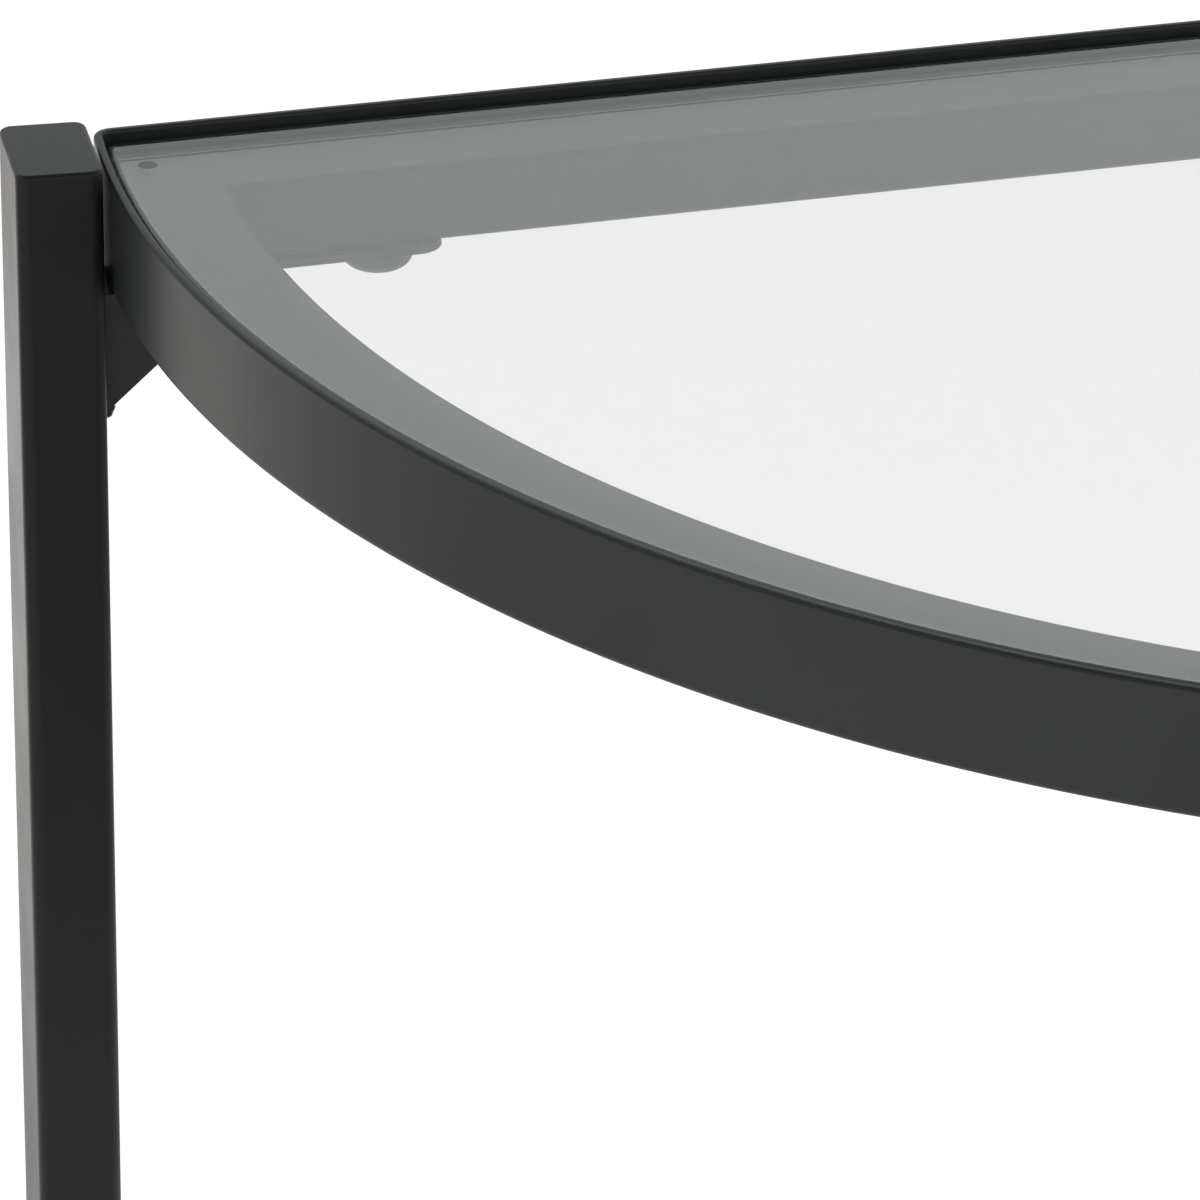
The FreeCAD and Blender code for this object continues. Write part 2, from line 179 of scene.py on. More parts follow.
def studio_world():
    """World of ceiling and walls; the camera itself sees plain white."""
    world = bpy.data.worlds.new("white_studio")
    world.use_nodes = True
    tree = world.node_tree
    background = tree.nodes["Background"]
    direction = add_node(tree, "TexCoord")
    overhead = add_node(tree, "VectorMath", {1: DARK_CEILING}, operation="DOT_PRODUCT")
    fall = map_range(tree, *CEILING_REACH, 1.0, CEILING_LIGHT)
    height = add_node(tree, "VectorMath", {1: (0, 0, 1)}, operation="DOT_PRODUCT")
    wall = map_range(tree, *WALL_HEIGHTS, LOW_WALL_LIGHT, HIGH_WALL_LIGHT)
    light = add_node(tree, "Math", operation="MULTIPLY")
    seen = add_node(tree, "LightPath")
    pick = add_node(tree, "Mix", {3: 1.0})
    tint = add_node(tree, "Mix", {6: SKY_COLOUR, 7: (1, 1, 1, 1)}, data_type="RGBA")
    for turned, level, entry in ((overhead, fall, 0), (height, wall, 1)):
        join(tree, direction, "Generated", turned, 0)
        join(tree, turned, "Value", level, "Value")
        join(tree, level, "Result", light, entry)
    join(tree, light, "Value", pick, 2)
    join(tree, seen, "Is Camera Ray", pick, 0)
    join(tree, seen, "Is Camera Ray", tint, 0)
    join(tree, pick, 0, background, "Strength")
    join(tree, tint, 2, background, "Color")
    return world


bpy.context.scene.world = studio_world()
bpy.context.scene.view_settings.view_transform = "Standard"
print("studio: walls", LOW_WALL_LIGHT, "to", HIGH_WALL_LIGHT, "and ceiling", CEILING_LIGHT)

# %% [markdown]
# The floor is plain and nearly white. A little light of its own brings it to the white of the
# photograph while the feet still leave soft shadows.

# %% Floor
FLOOR_COLOUR = (0.87, 0.825, 0.833, 1)
FLOOR_GLOW = 0.47


def flat_sheet(name, x0, x1, y0, y1, z):
    """Level rectangle for the stage."""
    mesh = bpy.data.meshes.new(name)
    work = bmesh.new()
    bmesh.ops.create_grid(work, x_segments=1, y_segments=1, size=0.5)
    bmesh.ops.scale(work, vec=(x1 - x0, y1 - y0, 1), verts=work.verts)
    bmesh.ops.translate(work, vec=((x0 + x1) / 2, (y0 + y1) / 2, z), verts=work.verts)
    work.to_mesh(mesh)
    work.free()
    sheet = bpy.data.objects.new(name, mesh)
    bpy.context.scene.collection.objects.link(sheet)
    return sheet


floor = flat_sheet("floor", -25, 25, -25, 25, 0)
floor_material, _, floor_shader = new_material("pale_floor", roughness=0.9, emission_strength=FLOOR_GLOW)
floor_shader.inputs["Base Color"].default_value = FLOOR_COLOUR
floor_shader.inputs["Specular IOR Level"].default_value = 0.0
floor_shader.inputs["Emission Color"].default_value = (1, 1, 1, 1)
floor.data.materials.append(floor_material)
print("floor placed")

# %% [markdown]
# Upright faces of the table mirror the studio floor, which in the photograph was bright behind the
# table and dark in front of it. A sheet just above the floor stands for that: it shows only in
# reflections, and its glow is a base level plus a few soft round spots, some of them darker than
# the rest.

# %% Floor as the paint mirrors it
BASE_GLOW = 0.78
GLOW_SPOTS = (
    (-0.72, 1.65, 1.2, 1.08),
    (-1.65, 0.50, 1.1, -0.39),
    (-0.20, -0.75, 0.7, -0.45),
    (0.35, -1.35, 1.4, -0.58),
    (1.60, 0.40, 1.5, -0.75),
)


def mirrored_floor():
    """Emission that adds soft spots of (x, y, reach, strength) to an even base."""
    material, tree, shader = new_material("mirrored_floor", roughness=1.0)
    shader.inputs["Base Color"].default_value = (0, 0, 0, 1)
    shader.inputs["Specular IOR Level"].default_value = 0.0
    shader.inputs["Emission Color"].default_value = (1.0, 0.985, 0.955, 1)
    place = add_node(tree, "TexCoord")
    total = add_node(tree, "Value")
    total.outputs[0].default_value = BASE_GLOW
    for x, y, reach, strength in GLOW_SPOTS:
        away = add_node(tree, "VectorMath", {1: (x, y, 0)}, operation="DISTANCE")
        spot = map_range(tree, 0.0, reach, strength, 0.0)
        added = add_node(tree, "Math", operation="ADD")
        join(tree, place, "Object", away, 0)
        join(tree, away, "Value", spot, "Value")
        join(tree, total, 0, added, 0)
        join(tree, spot, "Result", added, 1)
        total = added
    join(tree, total, 0, shader, "Emission Strength")
    return material


glow_sheet = flat_sheet("mirrored_floor", -5, 5, -5, 5, 0.004)
glow_sheet.data.materials.append(mirrored_floor())
glow_sheet.visible_camera = False
glow_sheet.visible_diffuse = False
glow_sheet.visible_transmission = False
glow_sheet.visible_shadow = False
print("mirrored floor:", len(GLOW_SPOTS), "spots")

# %% [markdown]
# Powder is sprayed on the steel and baked, so the film has a very fine peel, slow drifts of gloss
# and a few pale nibs of dust. These effects are one node group, because the plastic and steel parts
# use them at other scales.

# %% Sprayed film group
NIB_CELLS = 110.0
NIB_SIZE = (0.018, 0.03)


def sprayed_film():
    """Group with the peel's height, a slow drift and rare nibs, all from Object coordinates."""
    group = bpy.data.node_groups.new("sprayed_film", "ShaderNodeTree")
    group.interface.new_socket("Vector", in_out="INPUT", socket_type="NodeSocketVector")
    group.interface.new_socket("Peel Scale", in_out="INPUT", socket_type="NodeSocketFloat")
    group.interface.new_socket("Drift Scale", in_out="INPUT", socket_type="NodeSocketFloat")
    for output in ("Height", "Drift", "Nibs"):
        group.interface.new_socket(output, in_out="OUTPUT", socket_type="NodeSocketFloat")
    entry = group.nodes.new("NodeGroupInput")
    leave = group.nodes.new("NodeGroupOutput")
    peel = add_node(group, "TexNoise", {"Detail": 2.0, "Roughness": 0.5})
    drift = add_node(group, "TexNoise", {"Detail": 3.0, "Roughness": 0.55})
    nib_cells = add_node(group, "TexVoronoi", {"Scale": NIB_CELLS, "Randomness": 1.0})
    nibs = map_range(group, *NIB_SIZE, 1.0, 0.0, "LINEAR")
    for texture in (peel, drift, nib_cells):
        join(group, entry, "Vector", texture, "Vector")
    join(group, entry, "Peel Scale", peel, "Scale")
    join(group, entry, "Drift Scale", drift, "Scale")
    join(group, nib_cells, "Distance", nibs, "Value")
    join(group, peel, "Fac", leave, "Height")
    join(group, drift, "Fac", leave, "Drift")
    join(group, nibs, "Result", leave, "Nibs")
    return group


film_group = sprayed_film()
print("sprayed film:", len(film_group.nodes), "nodes")

# %% [markdown]
# The frame and legs are charcoal black, satin powder coat. The drift mixes two near blacks and
# moves the gloss a little, the nibs are paler, and the peel goes to a Bump node. The legs get a
# darker, less glossy copy of the coat: painted shade for their darker fronts. The ring's rim gets a
# darker, duller copy as well: painted shade that draws the dark line along the rim.

# %% Powder coat
DRIFT_RANGE = (0.3, 0.7)
COAT_PEEL = 1600.0
COAT_DRIFT = 35.0
COAT_ROUGHNESS = (0.36, 0.42)
NIB_COLOUR = (0.06, 0.06, 0.058)


def film_on(tree, peel_scale, drift_scale):
    """The film group read with Object coordinates."""
    place = add_node(tree, "TexCoord")
    film = add_node(tree, "Group", node_tree=film_group)
    film.inputs["Peel Scale"].default_value = peel_scale
    film.inputs["Drift Scale"].default_value = drift_scale
    join(tree, place, "Object", film, "Vector")
    return film


def blend_colour(tree, film, dark, light, nib, shader):
    """Base colour that drifts from dark to light, with nibs in their own colour."""
    drift = add_node(tree, "Mix", {6: (*dark, 1), 7: (*light, 1)}, data_type="RGBA")
    speck = add_node(tree, "Mix", {7: (*nib, 1)}, data_type="RGBA")
    join(tree, film, "Drift", drift, 0)
    join(tree, film, "Nibs", speck, 0)
    join(tree, drift, 2, speck, 6)
    join(tree, speck, 2, shader, "Base Color")


def vary_roughness(tree, film, low, high, shader):
    """Roughness that follows the slow drift."""
    spread = map_range(tree, *DRIFT_RANGE, low, high, "LINEAR")
    join(tree, film, "Drift", spread, "Value")
    join(tree, spread, "Result", shader, "Roughness")


def bump(tree, film, strength, depth, shader):
    """Relief from the fine peel."""
    relief = add_node(tree, "Bump", {"Strength": strength, "Distance": depth})
    join(tree, film, "Height", relief, "Height")
    join(tree, relief, "Normal", shader, "Normal")


def powder_coat(name, ior, shade):
    """Satin coat; the shade is the middle of its two near blacks."""
    material, tree, shader = new_material(name, ior=ior)
    film = film_on(tree, COAT_PEEL, COAT_DRIFT)
    dark = [shade * 0.88, shade * 0.92, shade * 0.94]
    light = [shade * 1.06, shade * 1.11, shade * 1.13]
    blend_colour(tree, film, dark, light, NIB_COLOUR, shader)
    vary_roughness(tree, film, *COAT_ROUGHNESS, shader)
    bump(tree, film, 0.02, 0.00001, shader)
    return material


def finish_nodes(material, names):
    """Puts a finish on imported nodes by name."""
    for name in names:
        mesh = nodes[name].data
        mesh.materials.clear()
        mesh.materials.append(material)


LEGS = ("left_back", "left_front", "right_front", "right_back")
bracket_nodes = [leg + part for leg in LEGS for part in ("_bracket", "_gusset")]
powder = powder_coat("ring_coat", 1.37, 0.0245)
# Darker, less glossy copy of the coat for the legs and their welds: painted shade.
shaded_leg_powder = powder_coat("shaded_leg_coat", 1.28, 0.0115)
# Darker, duller copy for the ring's rim: painted shade for the dark line along the rim.
shaded_rim_powder = powder_coat("shaded_rim_coat", 1.28, 0.016)
finish_nodes(powder, bracket_nodes)
print("powder coat on", len(bracket_nodes), "packed nodes, and kept for the ring, rail and legs")

# %% [markdown]
# A modelled piece is a bmesh that becomes a mesh object at the origin, with its place in its
# vertices. Faces may be shaded smooth, but a flat face next to a small rounding then looks swollen.
# So the edge between a broad face and a narrow one is marked sharp, and only the rounding itself is
# smooth. Bevels, full spins and lists of new points come back in several pieces, so they are
# helpers too.

# %% Mesh helpers
def verts_of(parts):
    return [part for part in parts if isinstance(part, bmesh.types.BMVert)]


def round_corners(work, verts, radius):
    """Rounds the corners of a flat outline."""
    bmesh.ops.bevel(
        work, geom=verts, offset=radius, offset_type="OFFSET", affect="VERTICES", segments=6, profile=0.5,
        material=-1,
    )


def bevel_edges(work, edges, width, segments):
    """Rounds the edges of a solid."""
    bmesh.ops.bevel(
        work, geom=edges, offset=width, offset_type="OFFSET", affect="EDGES", segments=segments, profile=0.5,
        material=-1,
    )


def spin_outline(work, outline, steps):
    """Full turn of an outline of (distance from the axis, level) points about Z."""
    verts = [work.verts.new((x, 0, z)) for x, z in outline]
    edges = [work.edges.new(pair) for pair in zip(verts, verts[1:])]
    bmesh.ops.spin(
        work, geom=verts + edges, cent=(0, 0, 0), axis=(0, 0, 1), dvec=(0, 0, 0), angle=2 * math.pi,
        steps=steps, use_merge=True, use_duplicate=False,
    )
    bmesh.ops.remove_doubles(work, verts=work.verts, dist=1e-6)


print("mesh helpers ready")

# %% [markdown]
# Every modelled piece is handed over in the same way: its normals are made to point outwards, it
# gets its finishes, it is attached to the body it rides on, and the imported nodes it stands for
# are hidden.

# %% Piece helper
def mark_sharp_borders(work, ratio=4.0, angle=math.radians(38)):
    """Smooth shading that stops at sharp edges and where a broad face meets a narrow one."""
    for face in work.faces:
        face.smooth = True
    for edge in work.edges:
        if len(edge.link_faces) != 2:
            continue
        near, far = sorted(face.calc_area() for face in edge.link_faces)
        bent = edge.calc_face_angle(0)
        edge.smooth = bent < angle and not (bent > math.radians(2) and far > ratio * near)


def finish_piece(work, name, body, materials, replaced=()):
    """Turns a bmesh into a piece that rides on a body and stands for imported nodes."""
    bmesh.ops.recalc_face_normals(work, faces=work.faces)
    mesh = bpy.data.meshes.new(name)
    work.to_mesh(mesh)
    work.free()
    for material in materials:
        mesh.materials.append(material)
    piece = bpy.data.objects.new(name, mesh)
    bpy.context.scene.collection.objects.link(piece)
    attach(piece, body)
    if replaced:
        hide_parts(*replaced)
    return piece


print("piece helper ready")

# %% [markdown]
# The ring is one profile, a square tube with a thin rim standing above an inner ledge. On the real
# table it is rolled steel. Here the profile's outline gets rounded corners with a vertex bevel, and
# is spun about the arc's centre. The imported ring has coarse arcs, which show as kinks in the long
# highlights, so this piece stands for it.

# %% Tube profile
RING_RADIUS = 0.3455
RAIL_BACK = 0.0473
TUBE_SIDE = 0.0286
TUBE_CORNER = 0.0020
RIM_WIDTH = 0.0022
RIM_ROUNDING = 0.0008
REBATE = 0.0095
RIM_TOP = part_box("half_ring")[1].z
TUBE_BOTTOM = RIM_TOP - TUBE_SIDE
ARC_CENTRE = Vector((0, (RING_RADIUS - RAIL_BACK) / 2, 0))


def tube_outline():
    """Closed outline of the tube: X runs inward from the outer face, Z up from the underside."""
    work = bmesh.new()
    ledge = TUBE_SIDE - REBATE
    inner = [(TUBE_SIDE, 0), (TUBE_SIDE, ledge), (RIM_WIDTH, ledge), (RIM_WIDTH, TUBE_SIDE)]
    corners = [work.verts.new((x, 0, z)) for x, z in [(0, 0), *inner, (0, TUBE_SIDE)]]
    work.faces.new(corners)
    round_corners(work, corners[:3], TUBE_CORNER)
    round_corners(work, corners[4:], RIM_ROUNDING)
    bmesh.ops.delete(work, geom=work.faces[:], context="FACES_ONLY")
    return work


outline = tube_outline()
print("tube outline:", len(outline.verts), "points")
outline.free()

# %% [markdown]
# The ring is a little more than half a circle, and is mitred to the rail at its ends. The spin
# overruns both mitres and is cut there. The outer corner is ground round: its points are drawn in
# towards the centre of that rounding.

# %% Ring and back rail
FRAME_CORNER = 0.0048
RING_STEPS = 240
CORNER_CUTS = 9


def corner_centre(side):
    """Centre of the ground corner, in plan about the arc's centre."""
    across = math.sqrt((RING_RADIUS - FRAME_CORNER) ** 2 - (RAIL_BACK - FRAME_CORNER) ** 2)
    return Vector((side * across, RAIL_BACK - FRAME_CORNER, 0))


def mitre(side):
    """A point and the normal of the mitre plane; the normal points to the rail."""
    outer = Vector((side * math.sqrt(RING_RADIUS ** 2 - RAIL_BACK ** 2), RAIL_BACK, 0))
    inner_back = RAIL_BACK - TUBE_SIDE
    inner = Vector((side * math.sqrt((RING_RADIUS - TUBE_SIDE) ** 2 - inner_back ** 2), inner_back, 0))
    along = (outer - inner).normalized()
    return outer, Vector((-side * along.y, side * along.x, 0))


def cut_end(work, side, point, normal, clear=False):
    """Cuts the faces near one corner at a plane, and may clear what lies on the normal's side."""
    near = [f for f in work.faces if any(v.co.x * side > 0.5 * RING_RADIUS and v.co.y > 0 for v in f.verts)]
    edges = {edge for face in near for edge in face.edges}
    verts = {vert for face in near for vert in face.verts}
    bmesh.ops.bisect_plane(
        work, geom=[*verts, *edges, *near], dist=1e-7, plane_co=point, plane_no=normal, clear_outer=clear,
        clear_inner=False,
    )


def close_ends(work):
    """Fills the open loops at the mitres."""
    open_edges = [edge for edge in work.edges if edge.is_boundary]
    bmesh.ops.holes_fill(work, edges=open_edges, sides=0)


def draw_in_corner(work, side, inset_of):
    """Moves points that stand outside the ground corner in to its rounding."""
    centre = corner_centre(side)
    to_arc = centre.normalized()
    for vert in work.verts:
        room = FRAME_CORNER - inset_of(vert.co)
        offset = Vector((vert.co.x, vert.co.y, 0)) - centre
        in_corner = offset.x * side > 0 and to_arc.cross(offset).z * side > 0
        if in_corner and 0 < room < offset.length:
            drawn = centre + offset * (room / offset.length)
            vert.co.x, vert.co.y = drawn.x, drawn.y


def ring_piece():
    """The outline spun past both mitres, cut there, with its outer corners ground round."""
    work = tube_outline()
    bmesh.ops.translate(work, vec=(-RING_RADIUS, 0, TUBE_BOTTOM), verts=work.verts)
    overrun = math.asin(RAIL_BACK / (RING_RADIUS - TUBE_SIDE)) + math.radians(2)
    bmesh.ops.rotate(work, cent=(0, 0, 0), matrix=Matrix.Rotation(-overrun, 3, "Z"), verts=work.verts)
    bmesh.ops.spin(
        work, geom=work.verts[:] + work.edges[:], cent=(0, 0, 0), axis=(0, 0, 1), dvec=(0, 0, 0),
        angle=math.pi + 2 * overrun, steps=RING_STEPS, use_merge=False, use_duplicate=False,
    )
    start = math.asin((RAIL_BACK - FRAME_CORNER) / (RING_RADIUS - FRAME_CORNER))
    end = math.asin(RAIL_BACK / RING_RADIUS)
    for side in (-1, 1):
        for i in range(CORNER_CUTS):
            angle = start + (end - start) * i / CORNER_CUTS
            cut_end(work, side, Vector((0, 0, 0)), Vector((-side * math.sin(angle), math.cos(angle), 0)))
        cut_end(work, side, *mitre(side), clear=True)
        draw_in_corner(work, side, lambda p: RING_RADIUS - math.hypot(p.x, p.y))
    close_ends(work)
    bmesh.ops.translate(work, vec=ARC_CENTRE, verts=work.verts)
    mark_sharp_borders(work)
    # Faces on the rim's top and roundings take the darker rim coat, a painted shade.
    for face in work.faces:
        in_rim_shade = face.calc_center_median().z > RIM_TOP - RIM_ROUNDING
        face.material_index = 1 if in_rim_shade else 0
    return finish_piece(work, "ring", "frame", [powder, shaded_rim_powder], ["half_ring"])


def rail_piece():
    """The same outline drawn straight, cut at the same mitres."""
    work = tube_outline()
    bmesh.ops.rotate(work, cent=(0, 0, 0), matrix=Matrix.Rotation(-math.pi / 2, 3, "Z"), verts=work.verts)
    bmesh.ops.translate(work, vec=(-RING_RADIUS, RAIL_BACK, TUBE_BOTTOM), verts=work.verts)
    grown = bmesh.ops.extrude_edge_only(work, edges=work.edges[:])
    bmesh.ops.translate(work, vec=(2 * RING_RADIUS, 0, 0), verts=verts_of(grown["geom"]))
    for side in (-1, 1):
        point, normal = mitre(side)
        start = corner_centre(side).x
        for i in range(CORNER_CUTS):
            x = start + (point.x - start) * i / CORNER_CUTS
            cut_end(work, side, Vector((x, 0, 0)), Vector((1, 0, 0)))
        cut_end(work, side, point, -normal, clear=True)
        draw_in_corner(work, side, lambda p: RAIL_BACK - p.y)
    close_ends(work)
    bmesh.ops.translate(work, vec=ARC_CENTRE, verts=work.verts)
    mark_sharp_borders(work)
    return finish_piece(work, "rail", "frame", [powder], ["back_rail"])


ring = ring_piece()
rail = rail_piece()
print("ring:", len(ring.data.polygons), "faces, rail:", len(rail.data.polygons), "faces")

# %% [markdown]
# Each leg is a flat tube with rounded corners and a top plate that is welded on and ground flush,
# so tube and cap look like one. A block is bevelled twice, along its upright edges and round its
# top, loses its underside, and is given the tube's wall.

# %% Legs
LEG_DEPTH = 0.020
LEG_BREADTH = 0.0313
LEG_CORNER = 0.0030
LEG_WALL = 0.0015
LEG_BOTTOM = 0.008
CAP_ROUNDING = 0.0010
LEG_GAP = 0.0017
LEG_FACE = RING_RADIUS + LEG_GAP
LEG_ANGLES = {"left_back": 175.4, "left_front": 244.0, "right_front": 296.0, "right_back": 4.6}


def leg_piece(name):
    """Tube and cap of one leg, built on the X axis and turned to its angle."""
    top = cad_high.z
    work = bmesh.new()
    bmesh.ops.create_cube(work, size=1)
    bmesh.ops.scale(work, vec=(LEG_DEPTH, LEG_BREADTH, top - LEG_BOTTOM), verts=work.verts)
    bmesh.ops.translate(work, vec=(LEG_FACE + LEG_DEPTH / 2, 0, (top + LEG_BOTTOM) / 2), verts=work.verts)
    upright = [e for e in work.edges if abs(e.verts[0].co.z - e.verts[1].co.z) > LEG_BREADTH]
    bevel_edges(work, upright, LEG_CORNER, 8)
    rim = [e for e in work.edges if all(v.co.z > top - 1e-6 for v in e.verts)]
    bevel_edges(work, rim, CAP_ROUNDING, 4)
    underside = [f for f in work.faces if all(v.co.z < LEG_BOTTOM + 1e-6 for v in f.verts)]
    bmesh.ops.delete(work, geom=underside, context="FACES_ONLY")
    mark_sharp_borders(work)
    bmesh.ops.solidify(work, geom=work.faces[:], thickness=LEG_WALL)
    turn = Matrix.Rotation(math.radians(LEG_ANGLES[name]), 3, "Z")
    bmesh.ops.rotate(work, cent=(0, 0, 0), matrix=turn, verts=work.verts)
    bmesh.ops.translate(work, vec=ARC_CENTRE, verts=work.verts)
    replaced = [name + "_leg", name + "_cap"]
    # The tube takes the darker leg coat, a painted shade.
    return finish_piece(work, name + "_tube", "frame", [shaded_leg_powder], replaced)


for leg in LEGS:
    tube = leg_piece(leg)
    print(tube.name, len(tube.data.polygons), "faces")

# %% [markdown]
# The top is 6 mm clear float glass. Its faces are polished, and a plain transmission with no
# roughness gives that. The edge is ground to a pencil edge with a less fine polish, and light
# travels a long way through the glass before it comes out there, so the edge has its own, darker
# and greener finish.

# %% Glass finishes
GLASS_IOR = 1.52
GLASS_TINT = (0.785, 0.773, 0.776, 1)


def clear_glass():
    """The pane's two faces."""
    material, _, shader = new_material("clear_glass", roughness=0.0, ior=GLASS_IOR, transmission_weight=1.0)
    shader.inputs["Base Color"].default_value = GLASS_TINT
    return material


def edge_glass():
    """The pane's ground edge."""
    material, tree, shader = new_material("edge_glass", ior=GLASS_IOR, transmission_weight=0.5)
    shader.inputs["Specular IOR Level"].default_value = 0.25
    film = film_on(tree, 2500.0, 90.0)
    blend_colour(tree, film, (0.095, 0.13, 0.12), (0.115, 0.155, 0.145), (0.16, 0.2, 0.19), shader)
    vary_roughness(tree, film, 0.16, 0.24, shader)
    return material


glass_finishes = [clear_glass(), edge_glass()]
print("glass finishes ready")

# %% [markdown]
# The pane is a real closed slab, so refraction, the reflection of the room and the lines along its
# edges come from the light paths. A single sheet would be simpler, but shows none of that. A disc
# is cut off straight at the back, its two corners are rounded, and the slab's edges are bevelled.
# It lies back in the rebate, with more room in front.

# %% Glass top
GLASS_THICKNESS = 0.006
GLASS_BELOW_RIM = 0.0023
GLASS_BACK_GAP = 0.0012
GLASS_SIDE_GAP = 0.0006
GLASS_FRONT_ROOM = 0.0036
GLASS_CORNER = 0.003
GLASS_EDGE_ROUNDING = 0.0024
GLASS_STEPS = 480


def crowded_verts(work, corners):
    """Points of the arc that are too near a corner for its rounding."""
    reach = GLASS_CORNER * 1.5
    near = [min((vert.co - corner.co).length for corner in corners) for vert in work.verts]
    return [vert for vert, gap in zip(work.verts, near) if 0 < gap < reach]


def glass_piece():
    """Slab with a pencil edge; faces get the first finish and the edge the second."""
    radius = RING_RADIUS - RIM_WIDTH - GLASS_SIDE_GAP
    back = RAIL_BACK - RIM_WIDTH - GLASS_BACK_GAP - GLASS_FRONT_ROOM
    work = bmesh.new()
    bmesh.ops.create_circle(work, cap_ends=True, radius=radius, segments=GLASS_STEPS)
    bmesh.ops.bisect_plane(
        work, geom=work.verts[:] + work.edges[:] + work.faces[:], dist=1e-7, plane_co=(0, back, 0),
        plane_no=(0, 1, 0), clear_outer=True, clear_inner=False,
    )
    corners = [v for v in work.verts if abs(v.co.y - back) < 1e-6]
    bmesh.ops.dissolve_verts(work, verts=crowded_verts(work, corners))
    round_corners(work, corners, GLASS_CORNER)
    grown = bmesh.ops.extrude_face_region(work, geom=work.faces[:], use_keep_orig=True)
    bmesh.ops.translate(work, vec=(0, 0, GLASS_THICKNESS), verts=verts_of(grown["geom"]))
    rims = [e for e in work.edges if abs(e.verts[0].co.z - e.verts[1].co.z) < 1e-6]
    bevel_edges(work, rims, GLASS_EDGE_ROUNDING, 8)
    underside = RIM_TOP - GLASS_BELOW_RIM - GLASS_THICKNESS
    bmesh.ops.translate(work, vec=ARC_CENTRE + Vector((0, GLASS_FRONT_ROOM, underside)), verts=work.verts)
    work.normal_update()
    for face in work.faces:
        level = abs(face.normal.z) > 0.99
        face.material_index = 0 if level else 1
        face.smooth = not level
    for edge in work.edges:
        edge.smooth = edge.calc_face_angle(0) < math.radians(25)
    return finish_piece(work, "glass_pane", "glass", glass_finishes, ["glass_top"])


pane = glass_piece()
print("glass:", len(pane.data.polygons), "faces")

# %% [markdown]
# The pane lies on small clear silicone pads. They are spun from a rounded outline and copied to
# their places. Under the glass such a pad wets it, and then shows as a darker dot, because its face
# no longer mirrors the light.

# %% Bumpers
BUMPER_HEIGHT = 0.0012
BUMPER_BASE = 0.0052
BUMPER_FACE = 0.0045
BUMPER_INSET = 0.0145
CORNER_BUMPER = 0.0129
BUMPER_STEPS = 40


def bumper_places():
    """Corner and back pads along the rail, then three round the front of the ring."""
    back = RAIL_BACK - BUMPER_INSET
    reach = RING_RADIUS - BUMPER_INSET
    corner = RING_RADIUS - CORNER_BUMPER
    places = [Vector((-corner, back, 0)), Vector((0, back, 0)), Vector((corner, back, 0))]
    for angle in (60, 90, 120):
        turn = math.radians(180 + angle)
        places.append(Vector((reach * math.cos(turn), reach * math.sin(turn), 0)))
    return places


def bumper_outline():
    """From the middle of the face round to the middle of the base."""
    outline = [(0, BUMPER_HEIGHT), (BUMPER_FACE / 2, BUMPER_HEIGHT), (BUMPER_BASE / 2, BUMPER_HEIGHT * 0.4)]
    return outline + [(BUMPER_BASE / 2, 0), (0, 0)]


def silicone():
    """Clear silicone as it looks where it wets the glass."""
    material, tree, shader = new_material("clear_silicone", specular_ior_level=0.3)
    film = film_on(tree, 700.0, 400.0)
    blend_colour(tree, film, (0.095, 0.10, 0.10), (0.115, 0.12, 0.12), (0.15, 0.15, 0.15), shader)
    vary_roughness(tree, film, 0.25, 0.35, shader)
    return material


def bumper_piece():
    """One pad, copied to all its places on the ledge."""
    work = bmesh.new()
    spin_outline(work, bumper_outline(), BUMPER_STEPS)
    first = work.verts[:] + work.edges[:] + work.faces[:]
    ledge = Vector((0, 0, RIM_TOP - REBATE)) + ARC_CENTRE
    places = bumper_places()
    for place in places[1:]:
        copied = bmesh.ops.duplicate(work, geom=first)
        bmesh.ops.translate(work, vec=place + ledge, verts=verts_of(copied["geom"]))
    bmesh.ops.translate(work, vec=places[0] + ledge, verts=verts_of(first))
    mark_sharp_borders(work)
    return finish_piece(work, "bumpers", "frame", [silicone()], ["glass_bumpers"])


bumpers = bumper_piece()
print("bumpers:", len(bumpers.data.polygons), "faces")

# %% [markdown]
# Brackets and gussets are welded to the legs. A weld is a row of overlapping ripples. Each bead
# here is a thin rod with rings of points along it, which swell and shrink a little, and its ends
# are drawn to a blunt tip.

# %% Weld beads
PLATE_THICKNESS = 0.002
PLATE_BOTTOM = TUBE_BOTTOM - PLATE_THICKNESS
PLATE_HALF_SEAM = 0.008
GUSSET_HEIGHT = 0.0308
GUSSET_SEAM = 0.022
GUSSET_ASIDE = {"left_back": 0.0007, "right_back": -0.0007}
SEAM_ASIDE = 0.0024
SEAM_BEAD = 0.0012
PLATE_BEAD = 0.0013
TIP_BEAD = 0.0024
TIP_BELOW = 0.0026
TIP_ABOVE = 0.0024
TIP_INWARD = 0.0022
RIPPLE = 0.0016
RIPPLE_SWELL = 0.14
TIP_SWELL = 0.03


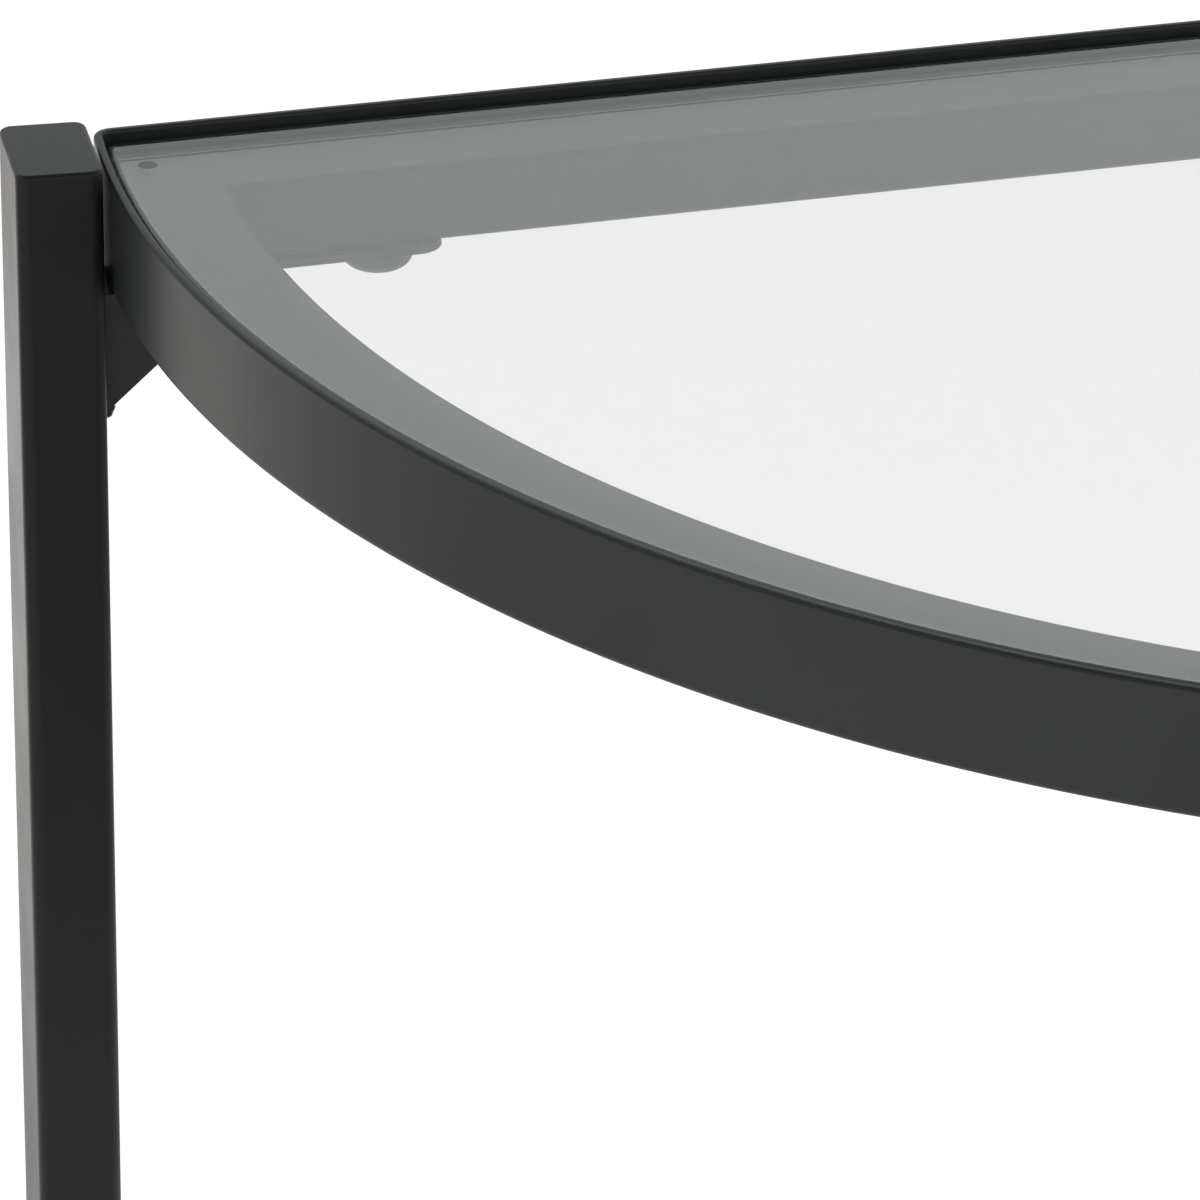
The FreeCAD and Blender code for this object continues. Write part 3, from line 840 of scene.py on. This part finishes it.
def weld_bead(work, start, end, radius, ripples=RIPPLE_SWELL):
    """Rippled bead between two points."""
    along = end - start
    turned = along.to_track_quat("Z", "Y").to_matrix().to_4x4()
    turned.translation = (start + end) / 2
    made = bmesh.ops.create_cone(
        work, cap_ends=True, segments=10, radius1=radius, radius2=radius, depth=along.length, matrix=turned,
    )
    long_edges = {e for v in made["verts"] for e in v.link_edges if e.calc_length() > 0.9 * along.length}
    count = max(3, round(along.length / RIPPLE * 3))
    bmesh.ops.subdivide_edges(work, edges=list(long_edges), cuts=count, use_grid_fill=True)
    direction = along.normalized()
    for vert in work.verts:
        if vert.tag:
            continue
        vert.tag = True
        done = (vert.co - start).dot(direction)
        axis_point = start + direction * done
        blunt = min(1.0, 0.35 + min(done, along.length - done) / radius)
        swell = blunt * (1 + ripples * math.sin(2 * math.pi * done / RIPPLE))
        vert.co = axis_point + (vert.co - axis_point) * swell


def at_angle(angle, out, aside, z):
    """Point given by an angle round the arc's centre, a distance out and one aside, and a level."""
    turn = Matrix.Rotation(math.radians(angle), 3, "Z")
    return turn @ Vector((out, aside, z)) + ARC_CENTRE


def welds_of(work, leg):
    """Beads on both sides of a gusset, round its tip, and under its plate."""
    angle = LEG_ANGLES[leg]
    middle = GUSSET_ASIDE.get(leg, 0.0)
    tip = PLATE_BOTTOM - GUSSET_HEIGHT
    for aside in (middle - SEAM_ASIDE, middle + SEAM_ASIDE):
        high = at_angle(angle, LEG_FACE, aside, PLATE_BOTTOM)
        weld_bead(work, at_angle(angle, LEG_FACE, aside, tip + 0.001), high, SEAM_BEAD)
        weld_bead(work, at_angle(angle, LEG_FACE - GUSSET_SEAM, aside, PLATE_BOTTOM), high, SEAM_BEAD)
    under_tip = at_angle(angle, LEG_FACE, middle, tip - TIP_BELOW)
    over_tip = at_angle(angle, LEG_FACE - TIP_INWARD, middle, tip + TIP_ABOVE)
    weld_bead(work, under_tip, over_tip, TIP_BEAD, TIP_SWELL)
    left = at_angle(angle, LEG_FACE, -PLATE_HALF_SEAM, PLATE_BOTTOM)
    right = at_angle(angle, LEG_FACE, PLATE_HALF_SEAM, PLATE_BOTTOM)
    weld_bead(work, left, right, PLATE_BEAD)


def weld_piece():
    """The beads of all four legs in one piece."""
    work = bmesh.new()
    for leg in LEGS:
        welds_of(work, leg)
    for face in work.faces:
        face.smooth = True
    # The beads take the darker leg coat, a painted shade.
    return finish_piece(work, "weld_beads", "frame", [shaded_leg_powder])


welds = weld_piece()
print("weld beads:", len(welds.data.polygons), "faces")

# %% [markdown]
# Steel, plastic and feet are small parts with the same kind of film at other scales. Black oxide on
# the bolts is a dark, slightly glossy skin, the rivet nuts are zinc plated, and the plastic is matt
# with a fine spark texture.

# %% Small parts' finishes
def plain(name, colour, roughness, metallic=0.0):
    """One colour with a slow drift to a lighter one and a fine relief."""
    material, tree, shader = new_material(name, metallic=metallic)
    film = film_on(tree, 1200.0, 60.0)
    lighter = [c * 1.3 for c in colour]
    blend_colour(tree, film, colour, lighter, lighter, shader)
    vary_roughness(tree, film, roughness - 0.04, roughness + 0.04, shader)
    bump(tree, film, 0.1, 0.00005, shader)
    return material


zinc = plain("zinc_steel", (0.55, 0.55, 0.53), 0.35, 1.0)
pad_plastic = plain("foot_plastic", (0.02, 0.02, 0.02), 0.55)
finish_nodes(plain("black_steel", (0.014, 0.0145, 0.015), 0.38), ["bracket_bolts"])
finish_nodes(zinc, ["rivet_nuts"])
finish_nodes(plain("black_plastic", (0.012, 0.012, 0.012), 0.5), [leg + "_insert" for leg in LEGS])
print("small parts finished")

# %% [markdown]
# A levelling foot is a plastic pad moulded on a zinc plated screw. Pad and screw are spun from one
# outline, with the thread as a row of ridges, and every third point round the pad's side is pushed
# in for grip.

# %% Levelling feet
FOOT_RADIUS = 0.0095
FOOT_HEIGHT = 0.006
STEM_RADIUS = 0.004
STEM_LENGTH = 0.025
THREAD_PITCH = 0.00125
THREAD_DEPTH = 0.0006
THREAD_ROOT = STEM_RADIUS - THREAD_DEPTH
FOOT_STEPS = 72
GRIP_INSET = 0.955


def foot_outline():
    """(distance from the axis, level) from the middle of the sole to the top of the screw."""
    outline = [(0, 0), (FOOT_RADIUS - 0.0015, 0), (FOOT_RADIUS - 0.0004, 0.0004), (FOOT_RADIUS, 0.0015)]
    outline += [(FOOT_RADIUS, 0.005), (FOOT_RADIUS - 0.0008, FOOT_HEIGHT), (THREAD_ROOT, FOOT_HEIGHT)]
    turns = int(STEM_LENGTH / THREAD_PITCH)
    for i in range(turns):
        level = FOOT_HEIGHT + i * THREAD_PITCH
        outline += [(STEM_RADIUS, level + 0.5 * THREAD_PITCH), (THREAD_ROOT, level + THREAD_PITCH)]
    return outline + [(0, FOOT_HEIGHT + turns * THREAD_PITCH)]


def foot_piece(name):
    """Pad and screw of one leg, under the middle of its packed foot."""
    work = bmesh.new()
    spin_outline(work, foot_outline(), FOOT_STEPS)
    for vert in work.verts:
        step = round(math.atan2(vert.co.y, vert.co.x) / (2 * math.pi) * FOOT_STEPS)
        on_side = math.hypot(vert.co.x, vert.co.y) > FOOT_RADIUS - 1e-5
        if on_side and step % 3 == 0:
            vert.co.x *= GRIP_INSET
            vert.co.y *= GRIP_INSET
    for face in work.faces:
        face.material_index = 1 if face.calc_center_median().z > FOOT_HEIGHT + 1e-5 else 0
    mark_sharp_borders(work)
    low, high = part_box(name + "_foot")
    bmesh.ops.translate(work, vec=((low.x + high.x) / 2, (low.y + high.y) / 2, low.z), verts=work.verts)
    pad_name, body = name + "_levelling_pad", name + "_levelling_foot"
    return finish_piece(work, pad_name, body, [pad_plastic, zinc], [name + "_foot"])


for leg in LEGS:
    pad = foot_piece(leg)
    print(pad.name, len(pad.data.polygons), "faces")
